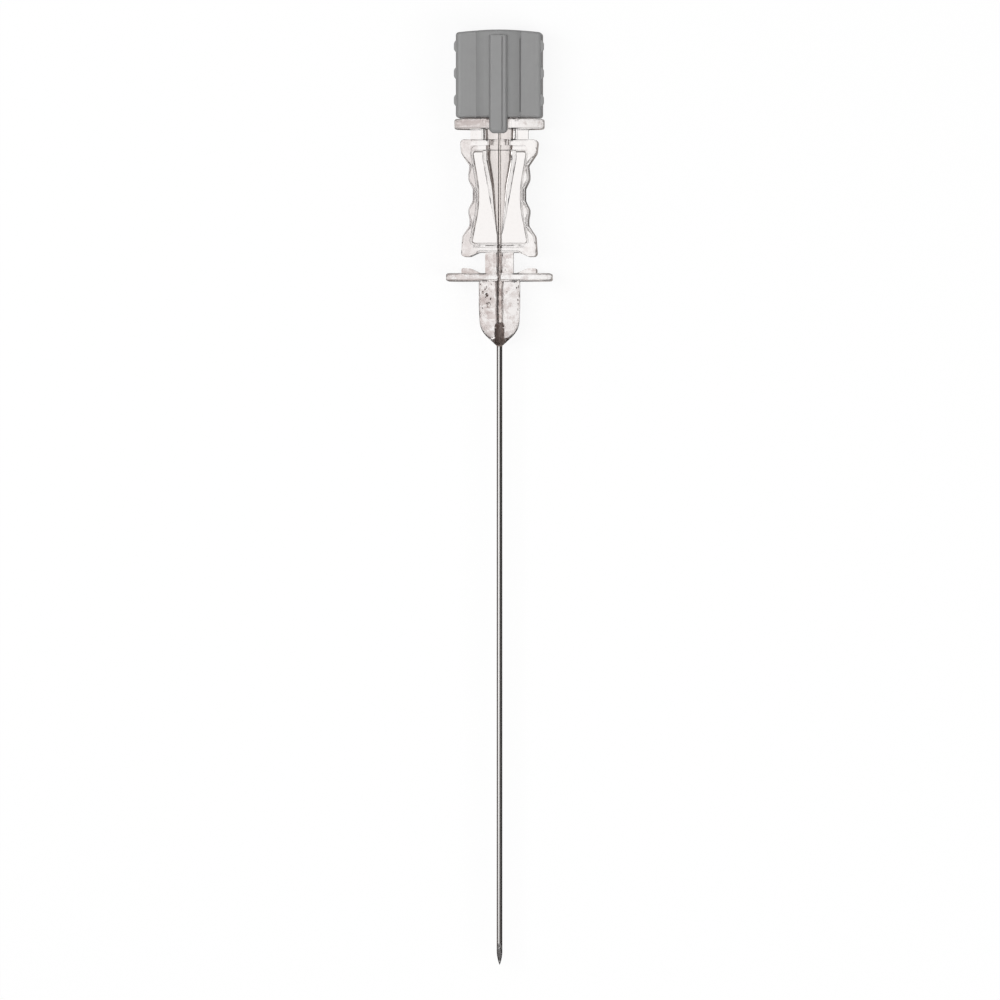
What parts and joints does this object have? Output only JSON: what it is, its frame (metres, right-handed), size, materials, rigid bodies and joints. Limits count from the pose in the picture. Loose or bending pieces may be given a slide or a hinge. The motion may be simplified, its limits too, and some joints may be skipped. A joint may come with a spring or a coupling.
{
  "type": "spinal needle",
  "caption": "Steel spinal needle with a lancet-ground bevel, clear winged hub with a luer socket, and a grey stylet cap whose wire fills the cannula.",
  "frame": {"origin": "on the needle's axis where the cannula leaves the hub's nose, which is where a needle's length is measured from", "axes": "+Y along the needle's axis towards the stylet cap, the point at -Y; +Z is the front, which the bevel, the notch and the key tab face; the needle lies on its back, the -Z side"},
  "size_m": [0.0154, 0.1357, 0.0103],
  "materials": {
    "clear_plastic": "clear moulded plastic, polished",
    "needle_steel": "drawn and polished stainless steel",
    "glue": "cured adhesive, dark where seen through the nose",
    "grey_plastic": "mid-grey moulded plastic, satin",
    "stylet_steel": "drawn stainless steel wire"
  },
  "bodies": {
    "needle": {"hub": "clear_plastic", "cannula": "needle_steel", "adhesive": "glue"},
    "stylet_assembly": {"stylet_cap": "grey_plastic", "stylet": "stylet_steel"}
  },
  "joints": [
    {"name": "stylet_withdrawal", "type": "slide", "parent": "needle", "child": "stylet_assembly", "axis": [0, 1, 0], "range_m": [0, 0.135]}
  ]
}
